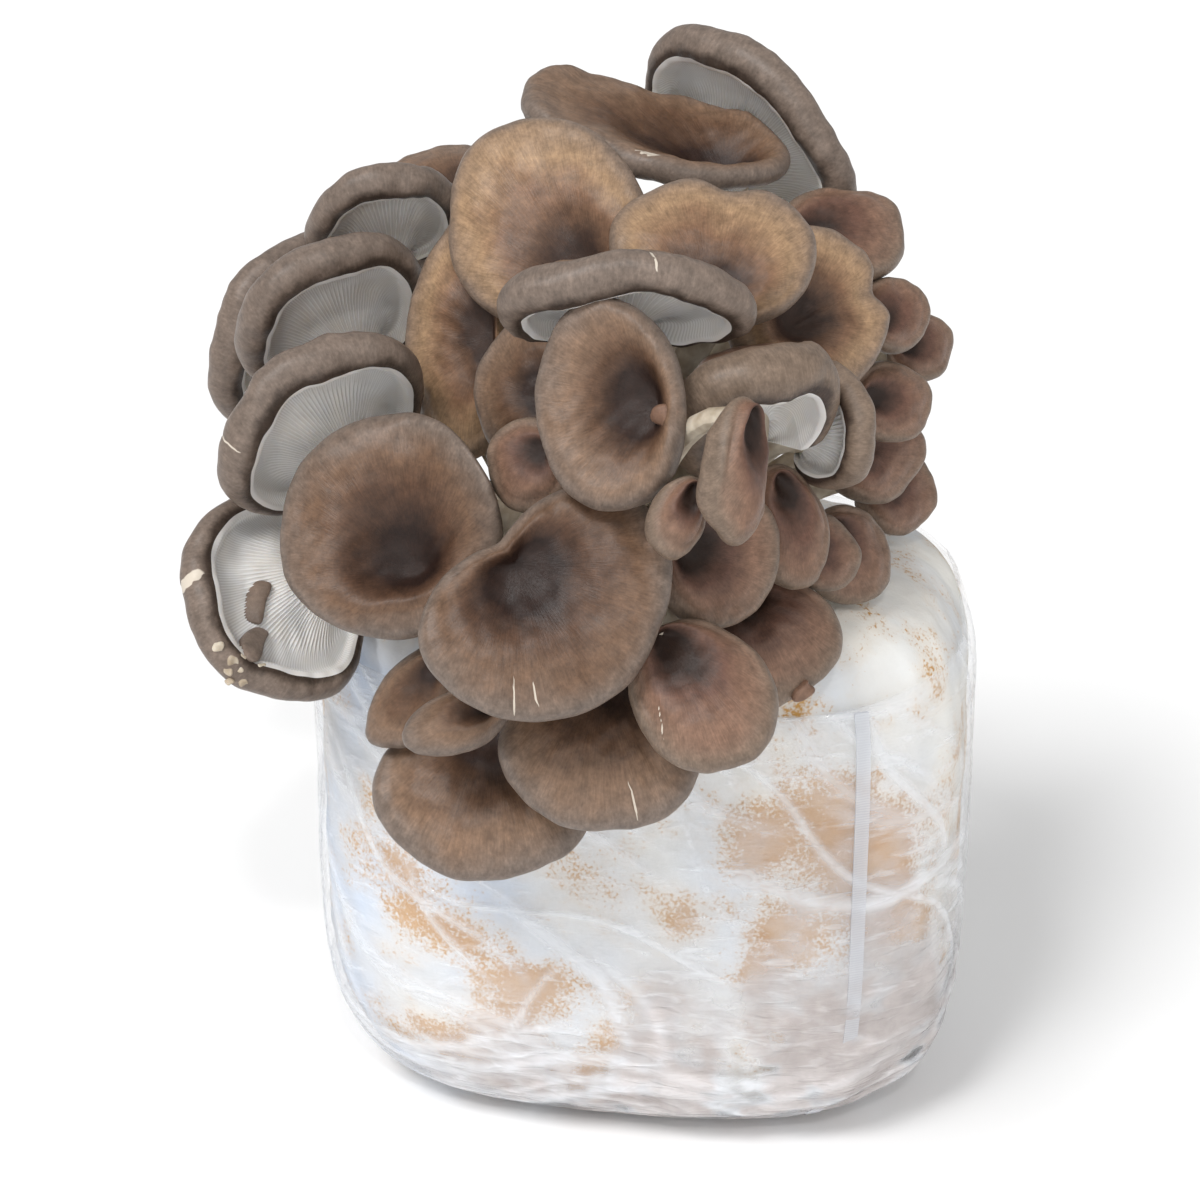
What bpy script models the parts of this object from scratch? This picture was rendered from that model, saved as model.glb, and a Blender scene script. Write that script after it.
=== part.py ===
"""Oyster mushroom cluster on its grow bag.

A flush of oyster mushrooms grown from the top front edge of a block of colonised sawdust. The block stands
in a thin clear bag that is open at the top. Metres, +Z up, origin at the middle of the bag's flat bottom, front
at -Y.
"""
import math

import bmesh
import bpy
import numpy as np

MM = 0.001

# The block of colonised sawdust: the fill of a gusseted bag 8 inches wide and 5 inches deep, slumped a little
BLOCK_HALF_WIDTH = 116 * MM
BLOCK_HALF_DEPTH = 78 * MM
BLOCK_HEIGHT = 206 * MM
PLAN_SQUARENESS = 3.0           # exponents of its superellipsoid, in plan and upright: higher is squarer
SIDE_SQUARENESS = 6.0
FOOT_SQUARENESS = 4.0           # the upright one below the middle, where the bag's folded corners round it more
BLOCK_SPARE = 1.03              # the superellipsoid is this much taller than the block, which planes cut flat
BLOCK_CUTS = 7                  # edge loops each way on a side of its cage

GAP = 0.3 * MM                  # between pieces that touch
BLOCK_GAP = 1.0 * MM            # between the block and the film
FILM = 0.6 * MM                 # the bag's film, drawn thicker than the real 0.1 mm
RIM_BACK = 203 * MM             # the film's open rim: high at the back, lower at the front under the caps
RIM_FRONT = 180 * MM
SEAM_WIDTH = 5 * MM             # heat-sealed strip of doubled film down the right front corner
SEAM_THICK = 0.8 * MM
SEAM_TURN = math.radians(-40)   # where it runs, as the plan's direction from the middle: 0 right, -90 front
SEAM_BOTTOM, SEAM_TOP = 12 * MM, 178 * MM
SEAM_CUTS = 23

# The cluster's own axes: it leans out over the front and a little to the right
HEART = np.array([-20, -55, 211]) * MM
FACE_BEARING = math.radians(8)
FACE_RISE = math.radians(25)
BASE_RADIUS = 44 * MM           # the lump of fused flesh round the heart

STEM = 5                        # stem radius of a large mushroom, mm
HUB_DIP = 0.15                  # how far the hub sinks, as a part of the cap's half length
NECK_SHARE, RIM_SHARE = 0.4, 0.35       # most of the reach from hub to margin that the stem and the roll take

ACROSS = np.array([math.cos(FACE_BEARING), math.sin(FACE_BEARING), 0])
OUT = np.array([math.sin(FACE_BEARING) * math.cos(FACE_RISE),
                -math.cos(FACE_BEARING) * math.cos(FACE_RISE), math.sin(FACE_RISE)])
UP = np.cross(OUT, ACROSS)


def unit(vector):
    """The same direction, one long."""
    return vector / np.linalg.norm(vector, axis=-1, keepdims=True)


def mushroom(name, place, half_length, half_width, heading, lean=0, tilt=0, hub=0.8, cup=0.0, bend=0.0,
             furl=0.0, nod=0.0, rim=6.0, flesh=4.0, notches=(), segments=14):
    """One mushroom of the design table, in millimetres and degrees on the cluster's axes.

    place is the middle of the cap's outline (across, up, out). The cap's top faces out, then tips by tilt
    towards the clock angle lean (0 is up, 90 is right). heading is the clock angle of its far margin before it
    tips. hub is how far the stem sits behind the middle, as a part of half_length. cup lifts the whole margin,
    bend droops both sides, furl droops the side clockwise of the heading (less than 0 lifts it), nod droops the
    far margin. rim is the radius its margin rolls over, flesh its depth near the margin, and each notch is
    (angle, depth, spread) round the outline.
    """
    return dict(locals())


MUSHROOMS = [
    # crown
    mushroom("mushroom_crown_right", (70, 162, -46), 38, 46, 228, lean=48, tilt=122, cup=-0.1, rim=7,
             flesh=8),
    mushroom("mushroom_crown_long", (27.5, 147.5, -16), 48, 34, 285, lean=15, tilt=60, cup=0.25, hub=0.6,
             rim=4.5),
    mushroom("mushroom_top_ear", (-6.3, 118.6, 28), 39, 33, 325, lean=300, tilt=15, cup=0.1, nod=0.2),
    mushroom("mushroom_top_heart", (46.8, 109.2, 58.5), 27, 33, 5, tilt=12, nod=0.3, hub=0.85, notches=((-7,
             0.13, 16),)),
    mushroom("mushroom_back_dome", (-48, 142, -75), 34, 31, 320, lean=340, tilt=50),
    mushroom("mushroom_upper_right", (93, 121.4, -3.5), 26, 19, 65, lean=30, tilt=35, segments=12),
    # hoods down the left, gills towards the front
    mushroom("mushroom_hood_back", (-65, 133.5, -29), 26, 28, 160, lean=345, tilt=118, bend=0.1, flesh=8),
    mushroom("mushroom_hood_far", (-106, 95, -57), 33, 38, 120, lean=300, tilt=122, bend=0.1, rim=7,
             flesh=9),
    mushroom("mushroom_hood_middle", (-85, 98.5, -12), 33, 35, 145, lean=328, tilt=122, bend=0.1, rim=7,
             flesh=9),
    mushroom("mushroom_hood_low", (-85, 60, 20), 34, 38, 140, lean=322, tilt=122, bend=0.1, rim=7, flesh=9),
    mushroom("mushroom_torn", (-102, -6, 0), 34, 37, 70, lean=245, tilt=138, bend=0.1, flesh=8),
    mushroom("mushroom_left_tall", (-38, 83.9, 10.5), 20, 42, 272, lean=270, tilt=20, hub=0.7, bend=0.1),
    # middle
    mushroom("mushroom_brow_hood", (18.9, 98.6, 83.5), 22, 40, 180, tilt=110, bend=0.15, rim=7, flesh=8),
    mushroom("mushroom_centre_ear", (15.3, 55.8, 90.5), 24, 33, 265, lean=270, tilt=15, cup=0.5, hub=0.55),
    mushroom("mushroom_centre_left", (-15.3, 65.3, 49), 20, 25, 290, lean=270, tilt=30, hub=0.7),
    mushroom("mushroom_hook", (-12.5, 38.5, 65), 15, 16, 230, lean=270, tilt=20, rim=4, hub=0.6,
             segments=12),
    mushroom("mushroom_left_funnel", (-54.8, 19, 41), 37, 38, 330, lean=300, tilt=10, cup=0.25, furl=-0.6,
             hub=0.45, rim=8),
    mushroom("mushroom_front_big", (-4.3, -5.5, 86), 34, 41, 140, tilt=10, cup=0.15, hub=0.5, notches=((180,
             0.5, 26), (118, -0.12, 25), (-118, -0.12, 25))),
    mushroom("mushroom_leaf", (35.7, 21.3, 108), 13, 9, 200, lean=90, tilt=20, rim=4, segments=10),
    mushroom("mushroom_slab", (54.8, 35, 117.5), 22, 12, 180, lean=90, tilt=50, rim=5, segments=12),
    mushroom("mushroom_right_round", (47.9, 9.7, 62.5), 22, 24, 100, lean=90, tilt=15, cup=0.15, hub=0.6),
    # over the front
    mushroom("mushroom_front_low", (11.2, -47, 59), 28, 33, 180, tilt=20, nod=0.2, hub=0.85),
    mushroom("mushroom_front_lowest", (-28, -65, 28), 28, 36, 190, tilt=25, nod=0.1, hub=0.85),
    mushroom("mushroom_finger", (-50, -34.1, 33.5), 23, 12, 225, lean=270, tilt=20, rim=5, segments=12),
    mushroom("mushroom_small_curl", (-33.9, -40.6, 65), 18, 10, 250, tilt=20, rim=4, segments=10),
    mushroom("mushroom_folded", (42.9, -31.7, 80.5), 26, 22, 145, tilt=20, hub=0.85),
    mushroom("mushroom_right_wide", (63, -16, 38), 21, 28, 155, tilt=25, nod=0.2, hub=0.85),
    # visors and small caps down the right
    mushroom("mushroom_visor", (50.9, 70.7, 61), 29, 29, 150, lean=335, tilt=118, cup=-0.3, rim=9, flesh=8),
    mushroom("mushroom_small_visor", (90.3, 52.3, 42.5), 20, 21, 260, lean=80, tilt=125, cup=-0.1, rim=5,
             flesh=7, segments=12),
    mushroom("mushroom_stub", (96, 54, 26), 10, 6, 0, lean=90, tilt=30, rim=3, segments=10),
    mushroom("mushroom_right_lobed", (80.4, 90.3, 24), 30, 29, 50, lean=60, tilt=20, cup=0.1, hub=0.35,
             notches=((-22, 0.14, 14),)),
    mushroom("mushroom_edge_top", (110.8, 93.3, -2), 16, 13, 60, lean=60, tilt=30, rim=4, segments=10),
    mushroom("mushroom_edge_far", (122, 85, -31), 15, 13, 80, lean=70, tilt=30, rim=4, segments=10),
    mushroom("mushroom_edge_middle", (110.1, 63.3, -0.5), 17, 14, 90, lean=80, tilt=30, rim=4, segments=10),
    mushroom("mushroom_right_back", (107, 48, -16), 21, 19, 90, lean=90, tilt=30, rim=5, segments=12),
    mushroom("mushroom_right_corner", (116, 33, -38), 17, 15, 110, lean=100, tilt=30, rim=4, segments=10),
    mushroom("mushroom_right_leaf", (73, 20, 45), 21, 14, 160, lean=80, tilt=25, rim=5, segments=12),
    mushroom("mushroom_right_small", (84.6, 11.9, 24.5), 15, 13, 110, lean=90, tilt=20, rim=4, segments=10),
    mushroom("mushroom_right_low", (95, 12, 8), 18, 16, 130, lean=90, tilt=25, rim=5, segments=12),
]

# Where the rings of a mushroom's cage lie along its way from the hub to the foot of the stem
TOP_RINGS = (0.25, 0.48, 0.68, 0.86, 1.0)
ROLL_RINGS = (0.22, 0.45, 0.7, 1.0)
GILL_RINGS = (0.15, 0.5, 1.0)
STEM_RINGS = (0.5, 1.0)
ROLL_ANGLE = math.radians(210)


def cap_axes(m):
    """The cap's forward, sideways and top directions: the flat cap turned to its heading, then tipped."""
    lean, tilt, heading = (math.radians(m[key]) for key in ("lean", "tilt", "heading"))
    towards = math.sin(lean) * ACROSS + math.cos(lean) * UP
    along = math.cos(lean) * ACROSS - math.sin(lean) * UP
    top = math.cos(tilt) * OUT + math.sin(tilt) * towards
    fallen = math.cos(tilt) * towards - math.sin(tilt) * OUT
    forward = math.cos(heading - lean) * fallen + math.sin(heading - lean) * along
    return forward, np.cross(top, forward), top


def outline(m, turn):
    """The margin round the hub: an ellipse whose hub is off centre, pinched by notches."""
    grow = np.ones_like(turn)
    for angle, depth, spread in m["notches"]:
        away = (turn - math.radians(angle) + math.pi) % (2 * math.pi) - math.pi
        grow = grow - depth * np.exp(-(away / math.radians(spread)) ** 2)
    x = m["half_length"] * (np.cos(turn) + m["hub"]) * grow
    y = m["half_width"] * np.sin(turn) * grow
    return x, y


def cap_height(m, x, y, spot):
    """Height of the cap's top over its hub: cup and hub dip by distance, droop by the place on the outline."""
    a, b = m["half_length"], m["half_width"]
    far = np.maximum(x, 0) / (a * (1 + m["hub"]))
    clockwise = np.maximum(-y, 0) / b
    height = m["cup"] * a * spot ** 2 + HUB_DIP * a * (1 - np.exp(-(spot / 0.4) ** 2))
    height = height - m["rim"] * 0.8 * np.clip((spot - 0.55) / 0.45, 0, 1) ** 2
    return height - m["bend"] * b * (y / b) ** 2 - m["furl"] * b * clockwise ** 4 - m["nod"] * a * far ** 2


def mushroom_points(m, turn, leg, step):
    """Points of one mushroom in metres, for arrays of turn (round the hub), leg (0 top, 1 roll, 2 gills,
    3 stem) and step (0 to 1 along that leg). The top runs out from the hub, the roll turns over the margin, the
    gill side runs back in and the stem follows a cubic curve to its foot on the cluster's base."""
    forward, side, top = cap_axes(m)
    hub = HEART + (m["place"][0] * ACROSS + m["place"][1] * UP + m["place"][2] * OUT) * MM
    hub = hub - forward * m["half_length"] * m["hub"] * MM
    stem = STEM * min(1, (m["half_length"] * m["half_width"]) ** 0.5 / 24)
    x, y = outline(m, turn)
    reach = np.hypot(x, y)
    neck = np.minimum(1.5 * stem, NECK_SHARE * reach)
    rim = np.minimum(m["rim"], RIM_SHARE * reach)
    ex, ey = x / reach, y / reach
    edge = reach - rim
    spot = np.where(leg == 0, step, 1.0)
    spot = np.where(leg == 2, 1 - step * (1 - neck / edge), spot)
    spot = np.where(leg == 3, neck / edge, spot)
    swing = math.pi / 2 - step * ROLL_ANGLE
    radial = spot * edge + np.where(leg == 1, rim * np.cos(swing), 0)
    lip_in = rim * math.cos(math.pi / 2 - ROLL_ANGLE)
    lip_down = rim * (1 - math.sin(math.pi / 2 - ROLL_ANGLE))
    radial = radial + np.where(leg == 2, lip_in * np.exp(-(step / 0.1) ** 2), 0)
    hub_flesh = m["flesh"] + 0.9 * stem
    under = m["flesh"] + (hub_flesh - m["flesh"]) * step ** 2
    under = under + (lip_down - m["flesh"]) * np.exp(-(step / 0.1) ** 2)
    drop = np.where(leg == 1, rim * (1 - np.sin(swing)), 0) + np.where(leg == 2, under, 0)
    height = cap_height(m, radial * ex, radial * ey, spot) - drop
    level = (radial * ex)[..., None] * forward + (radial * ey)[..., None] * side
    cap = hub + (level + height[..., None] * top) * MM

    start = hub - top * hub_flesh * MM
    toward = unit(hub - HEART)
    foot = HEART + toward * (BASE_RADIUS + GAP)
    span = np.linalg.norm(start - foot)
    one, two = start - top * span * 0.25, foot + toward * span * 0.35
    t = step[..., None]
    middle = (1 - t) ** 3 * start + 3 * (1 - t) ** 2 * t * one + 3 * (1 - t) * t ** 2 * two + t ** 3 * foot
    tangent = unit(3 * (1 - t) ** 2 * (one - start) + 6 * (1 - t) * t * (two - one) + 3 * t ** 2 * (foot - two))
    across = unit(side - (tangent * side).sum(-1, keepdims=True) * tangent)
    ahead = np.cross(tangent, across)
    thick = (stem + (neck - stem) * np.maximum(0, 1 - step * 2.5) ** 2)[..., None] * MM
    stalk = middle + thick * (ex[..., None] * ahead + ey[..., None] * across)
    return np.where((leg == 3)[..., None], stalk, cap)


def new_object(name, mesh, colour, roughness, collection):
    """A smooth-shaded object with its own plain material."""
    material = bpy.data.materials.new(name)
    material.use_nodes = True
    shader = material.node_tree.nodes["Principled BSDF"]
    shader.inputs["Base Color"].default_value = (*colour, 1)
    shader.inputs["Roughness"].default_value = roughness
    mesh.materials.append(material)
    mesh.shade_smooth()
    made = bpy.data.objects.new(name, mesh)
    collection.objects.link(made)
    return made


def mesh_from(name, bm):
    """The bmesh as a named mesh."""
    mesh = bpy.data.meshes.new(name)
    bm.to_mesh(mesh)
    bm.free()
    return mesh


def build_mushroom(m, collection):
    """A UV sphere whose rings are carried out over the cap, round its margin, back along the gills and down."""
    rings = [(0, s) for s in TOP_RINGS] + [(1, s) for s in ROLL_RINGS]
    rings += [(2, s) for s in GILL_RINGS] + [(3, s) for s in STEM_RINGS]
    bm = bmesh.new()
    bmesh.ops.create_uvsphere(bm, u_segments=m["segments"], v_segments=len(rings) + 1, radius=1.0)
    place = np.array([v.co for v in bm.verts])
    row = np.rint(np.arccos(np.clip(place[:, 2], -1, 1)) / math.pi * (len(rings) + 1)).astype(int)
    ways = [(0, 0.0)] + rings + [(3, 1.0)]
    leg = np.array([ways[r][0] for r in row])
    step = np.array([ways[r][1] for r in row])
    turn = np.arctan2(place[:, 1], place[:, 0])
    moved = mushroom_points(m, turn, leg, step)
    foot = row == len(rings) + 1
    moved[foot] = moved[row == len(rings)].mean(axis=0)
    for vertex, point in zip(bm.verts, moved):
        vertex.co = point
    return new_object(m["name"], mesh_from(m["name"], bm), (0.17, 0.10, 0.065), 0.55, collection)


def block_form(name, grow):
    """Closed superellipsoid of the block, larger by grow, cut flat at its bottom and top."""
    bm = bmesh.new()
    bmesh.ops.create_cube(bm, size=2.0)
    bmesh.ops.subdivide_edges(bm, edges=bm.edges, cuts=BLOCK_CUTS, use_grid_fill=True)
    half = np.array([BLOCK_HALF_WIDTH + grow, BLOCK_HALF_DEPTH + grow, BLOCK_HEIGHT / 2 + grow])
    low, high = -grow, BLOCK_HEIGHT + grow
    ray = np.tan(np.array([v.co for v in bm.verts]) * math.pi / 4)
    upright = np.where(ray[:, 2] < 0, FOOT_SQUARENESS, SIDE_SQUARENESS)
    plan = (np.abs(ray[:, :2]) ** PLAN_SQUARENESS).sum(1) ** (upright / PLAN_SQUARENESS)
    size = (plan + np.abs(ray[:, 2]) ** upright) ** (1 / upright)
    place = ray / size[:, None] * half * (1, 1, BLOCK_SPARE) + (0, 0, BLOCK_HEIGHT / 2)
    place[:, 2] = np.clip(place[:, 2], low, high)
    for vertex, point in zip(bm.verts, place):
        vertex.co = point
    return mesh_from(name, bm)


def build_block(collection):
    mesh = block_form("mycelium_block", -BLOCK_GAP - FILM)
    return new_object("mycelium_block", mesh, (0.8, 0.78, 0.74), 0.8, collection)


def build_film(collection):
    """The bag: the block's own form a film thickness out, opened along a slanting rim, with Solidify's wall."""
    bm = bmesh.new()
    bm.from_mesh(block_form("grow_bag_film", -FILM))
    slope = (RIM_BACK - RIM_FRONT) / (2 * BLOCK_HALF_DEPTH)
    middle = (0, 0, (RIM_BACK + RIM_FRONT) / 2)
    bmesh.ops.bisect_plane(bm, geom=bm.verts[:] + bm.edges[:] + bm.faces[:], plane_co=middle,
                           plane_no=(0, -slope, 1), clear_outer=True)
    film = new_object("grow_bag_film", mesh_from("grow_bag_film", bm), (0.78, 0.79, 0.82), 0.2, collection)
    wall = film.modifiers.new("wall", "SOLIDIFY")
    wall.thickness = FILM
    wall.offset = 1.0
    wall.use_even_offset = True
    return film


def block_side(turn, height, grow):
    """Point on the upright side of the block's form at a plan direction and a height."""
    ray = np.stack([np.cos(turn), np.sin(turn)], -1) / (BLOCK_HALF_WIDTH + grow, BLOCK_HALF_DEPTH + grow)
    plan = (np.abs(ray) ** PLAN_SQUARENESS).sum(-1) ** (1 / PLAN_SQUARENESS)
    up = np.abs(height - BLOCK_HEIGHT / 2) / ((BLOCK_HEIGHT / 2 + grow) * BLOCK_SPARE)
    upright = np.where(height < BLOCK_HEIGHT / 2, FOOT_SQUARENESS, SIDE_SQUARENESS)
    reach = (1 - up ** upright) ** (1 / upright) / plan
    return np.stack([reach * np.cos(turn), reach * np.sin(turn), height], -1)


def build_seam(collection):
    """The sealed strip: a long box bent to lie on the film's outer face."""
    bm = bmesh.new()
    bmesh.ops.create_cube(bm, size=1.0)
    upright = [e for e in bm.edges if abs(e.verts[0].co.z - e.verts[1].co.z) > 0.5]
    bmesh.ops.subdivide_edges(bm, edges=upright, cuts=SEAM_CUTS, use_grid_fill=True)
    place = np.array([v.co for v in bm.verts])
    height = SEAM_BOTTOM + (place[:, 2] + 0.5) * (SEAM_TOP - SEAM_BOTTOM)
    middle = block_side(np.full(len(place), SEAM_TURN), height, GAP + GAP)
    beside = block_side(np.full(len(place), SEAM_TURN + 0.01), height, GAP + GAP)
    along = unit((beside - middle) * (1, 1, 0))
    outward = np.cross(along, (0, 0, 1))
    moved = middle - along * place[:, :1] * SEAM_WIDTH + outward * (place[:, 1:2] + 0.5) * SEAM_THICK
    for vertex, point in zip(bm.verts, moved):
        vertex.co = point
    return new_object("gusset_seam", mesh_from("gusset_seam", bm), (0.7, 0.71, 0.76), 0.3, collection)


def build_base(collection, cutters):
    """The fused flesh: a ball round the heart, cut where it sits over the block and the film."""
    bm = bmesh.new()
    bmesh.ops.create_uvsphere(bm, u_segments=24, v_segments=16, radius=BASE_RADIUS)
    bmesh.ops.translate(bm, verts=bm.verts, vec=tuple(HEART))
    base = new_object("cluster_base", mesh_from("cluster_base", bm), (0.72, 0.66, 0.55), 0.6, collection)
    form = bpy.data.objects.new("base_cutter", block_form("base_cutter", GAP))
    cutters.objects.link(form)
    form.hide_render = True
    form.display_type = "WIRE"
    cut = base.modifiers.new("sits on the block", "BOOLEAN")
    cut.operation = "DIFFERENCE"
    cut.object = form
    return base


def clean_scene():
    for old in list(bpy.data.objects):
        bpy.data.objects.remove(old, do_unlink=True)


def collection_named(name):
    made = bpy.data.collections.new(name)
    bpy.context.scene.collection.children.link(made)
    return made


def main():
    clean_scene()
    parts = collection_named("oyster_mushroom_cluster")
    cutters = collection_named("cutters")
    build_block(parts)
    build_film(parts)
    build_seam(parts)
    build_base(parts, cutters)
    for m in MUSHROOMS:
        build_mushroom(m, parts)


main()
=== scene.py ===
"""Looks of the oyster mushroom cluster on its grow bag: caps, gills, stems, mycelium block and clear bag."""
import math

import bpy
import numpy as np
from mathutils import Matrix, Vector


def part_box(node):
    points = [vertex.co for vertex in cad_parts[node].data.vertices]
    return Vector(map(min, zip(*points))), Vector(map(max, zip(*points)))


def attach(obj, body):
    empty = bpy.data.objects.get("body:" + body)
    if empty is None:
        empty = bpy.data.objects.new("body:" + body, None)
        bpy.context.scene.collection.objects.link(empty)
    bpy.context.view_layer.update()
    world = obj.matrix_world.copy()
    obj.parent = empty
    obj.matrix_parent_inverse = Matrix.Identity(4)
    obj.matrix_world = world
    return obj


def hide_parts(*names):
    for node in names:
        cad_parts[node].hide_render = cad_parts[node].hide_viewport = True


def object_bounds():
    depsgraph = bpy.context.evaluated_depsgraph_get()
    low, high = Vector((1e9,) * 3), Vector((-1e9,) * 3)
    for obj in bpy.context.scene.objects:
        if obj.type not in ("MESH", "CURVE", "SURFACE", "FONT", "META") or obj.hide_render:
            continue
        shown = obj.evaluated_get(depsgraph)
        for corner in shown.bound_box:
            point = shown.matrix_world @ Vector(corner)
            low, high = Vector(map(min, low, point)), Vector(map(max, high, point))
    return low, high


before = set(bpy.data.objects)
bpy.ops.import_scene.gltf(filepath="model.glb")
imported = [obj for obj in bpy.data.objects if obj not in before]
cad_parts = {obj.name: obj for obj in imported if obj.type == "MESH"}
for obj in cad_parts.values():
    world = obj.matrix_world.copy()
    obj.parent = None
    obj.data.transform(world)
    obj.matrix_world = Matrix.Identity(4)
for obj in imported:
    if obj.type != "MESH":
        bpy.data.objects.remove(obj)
cad_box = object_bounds()
MM = 0.001

# ---------------------------------------------------------------------------------------------------------------
# Camera. A person standing in front looks down a little on the cluster, from just right of the front. It stands
# far enough back that the caps nearest to it are not swollen.
# ---------------------------------------------------------------------------------------------------------------
CAMERA_BEARING = math.radians(8)
CAMERA_RISE = math.radians(25)
CAMERA_DISTANCE = 1100 * MM
CAMERA_ANGLE = math.radians(21.93)
AIM_FROM_MIDDLE = np.array([1.1, 36.6, -8.4]) * MM

middle = (np.array(cad_box[0]) + np.array(cad_box[1])) / 2
back = np.array([math.sin(CAMERA_BEARING) * math.cos(CAMERA_RISE),
                 -math.cos(CAMERA_BEARING) * math.cos(CAMERA_RISE), math.sin(CAMERA_RISE)])
camera = bpy.data.objects.new("camera", bpy.data.cameras.new("camera"))
camera.location = middle + AIM_FROM_MIDDLE + back * CAMERA_DISTANCE
camera.rotation_euler = (math.pi / 2 - CAMERA_RISE, 0, CAMERA_BEARING)
camera.data.angle = CAMERA_ANGLE
bpy.context.scene.collection.objects.link(camera)
bpy.context.scene.camera = camera


# ---------------------------------------------------------------------------------------------------------------
# Studio: a plain white paper floor, a broad soft key light from the upper left front, weaker ones from the right
# and from low in front, which lights the pale gills, and a small sharp one that puts glints on the film.
# ---------------------------------------------------------------------------------------------------------------
FLOOR_HALF = 3000 * MM
FLOOR_DROP = 0.3 * MM
SURROUND = 0.47                 # strength of the even white surround
LIGHTS = (                      # the bearing it shines from, its rise and how wide it looks, in degrees; strength
    ("key", -32, 54, 20, 2.1), ("fill", 50, 30, 60, 0.35), ("low", 4, 8, 40, 0.55), ("spark", 12, 46, 3, 0.35))


def linear(hex_colour):
    """A colour given as sRGB hex, turned to linear red, green, blue and full alpha."""
    channels = [int(hex_colour[i:i + 2], 16) / 255 for i in (1, 3, 5)]
    return (*[c / 12.92 if c <= 0.04045 else ((c + 0.055) / 1.055) ** 2.4 for c in channels], 1.0)


def add_node(tree, kind, inputs=None, **settings):
    """Adds one shader node. Each input is a plain value, or another node's output to link."""
    made = tree.nodes.new(kind)
    for key, value in settings.items():
        setattr(made, key, value)
    for key, value in (inputs or {}).items():
        if isinstance(value, bpy.types.NodeSocket):
            tree.links.new(value, made.inputs[key])
        else:
            made.inputs[key].default_value = value
    return made


def new_material(name, **principled):
    """A material with one Principled shader, its uniform values set on the shader's own sockets."""
    made = bpy.data.materials.new(name)
    made.use_nodes = True
    shader = made.node_tree.nodes["Principled BSDF"]
    for key, value in principled.items():
        shader.inputs[key.replace("_", " ")].default_value = value
    return made, made.node_tree, shader


# White paper sweep: matt, with a faint mottle that only breaks up the flat white
paper, tree, shader = new_material("paper_sweep_matt", Roughness=0.9)
where = add_node(tree, "ShaderNodeTexCoord")
cloud = add_node(tree, "ShaderNodeTexNoise", {"Vector": where.outputs["Object"], "Scale": 3.0})
tint = add_node(tree, "ShaderNodeMix", {"Factor": cloud.outputs["Fac"], "A": linear("#F4F4F4"),
                                        "B": linear("#F8F8F8")}, data_type="RGBA")
tree.links.new(tint.outputs["Result"], shader.inputs["Base Color"])
mesh = bpy.data.meshes.new("floor")
corners = [(-1, -1), (1, -1), (1, 1), (-1, 1)]
mesh.from_pydata([(x * FLOOR_HALF, y * FLOOR_HALF, -FLOOR_DROP) for x, y in corners], [], [(0, 1, 2, 3)])
mesh.materials.append(paper)
floor = bpy.data.objects.new("floor", mesh)
bpy.context.scene.collection.objects.link(floor)

for name, bearing, rise, spread, strength in LIGHTS:
    lamp = bpy.data.lights.new(name, "SUN")
    lamp.angle = math.radians(spread)
    lamp.energy = strength
    stand = bpy.data.objects.new(name, lamp)
    stand.rotation_euler = (math.radians(90 - rise), 0, math.radians(bearing))
    bpy.context.scene.collection.objects.link(stand)
world = bpy.data.worlds.new("studio_surround")
world.use_nodes = True
world.node_tree.nodes["Background"].inputs["Color"].default_value = linear("#FFFFFF")
world.node_tree.nodes["Background"].inputs["Strength"].default_value = SURROUND
bpy.context.scene.world = world
bpy.context.scene.view_settings.view_transform = "Standard"


# ---------------------------------------------------------------------------------------------------------------
# Mycelium block: sawdust grown through and skinned over with white mycelium, pressed to the shape of its bag.
# Where the skin is thin the ochre sawdust shows through in speckled patches.
# ---------------------------------------------------------------------------------------------------------------
PLAN_SQUARENESS = 3.0
SIDE_SQUARENESS = 6.0
FOOT_SQUARENESS = 4.0           # the upright one below the middle
BLOCK_SPARE = 1.03
SAWDUST_PATCHES = (     # along the front and up, in parts of the block's half width and height, radius, strength
    (-0.65, 0.50, 0.13, 0.8), (0.42, 0.63, 0.13, 1.0), (0.75, 0.62, 0.17, 1.2), (0.77, 0.48, 0.13, 1.0),
    (0.50, 0.46, 0.11, 0.8), (0.42, 0.39, 0.10, 0.6), (0.20, 0.49, 0.10, 0.5), (-0.25, 0.33, 0.13, 0.7),
    (-0.38, 0.21, 0.15, 0.6), (0.05, 0.21, 0.14, 0.6), (-0.45, 0.08, 0.16, 0.6), (-0.12, 0.11, 0.18, 0.6),
    (-0.72, 0.20, 0.12, 0.4), (-0.50, 0.40, 0.10, 0.5), (0.62, 0.25, 0.18, 0.45), (0.05, 0.62, 0.12, 0.3))


def box_form(turn, rise, low, high, plan_power, side_power, spare):
    """A rounded block over a grid of turn (round it) and rise (-1 bottom pole to 1 top pole): a superellipse in
    plan times a superellipse upright, cut flat at low and high."""
    half = (high - low) / 2
    centre = (high + low) / 2
    ray = np.stack([np.cos(turn), np.sin(turn)], -1)
    plan = ray / (np.abs(ray) ** plan_power).sum(-1, keepdims=True) ** (1 / plan_power)
    lift = np.tan(np.abs(rise) * math.pi / 2)
    size = (1 + lift ** side_power) ** (1 / side_power)
    level = np.clip(np.sign(rise) * lift / size * spare, -1, 1)
    return np.concatenate([plan / size[..., None] * half[:2], (level * half[2])[..., None]], -1) + centre


def waves(points, scale, seed, octaves=3):
    """Smooth random relief of about -1 to 1: sums of sines of the place in random directions, each octave finer
    and weaker than the last."""
    random = np.random.default_rng(seed)
    total = np.zeros(points.shape[:-1])
    for octave in range(octaves):
        for _ in range(5):
            direction = random.normal(size=3)
            direction *= 2 ** octave * 2 * math.pi / scale / np.linalg.norm(direction)
            total += np.sin(points @ direction + random.uniform(0, 2 * math.pi)) / (5 ** 0.5 * 1.8 ** octave)
    return total


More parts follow.
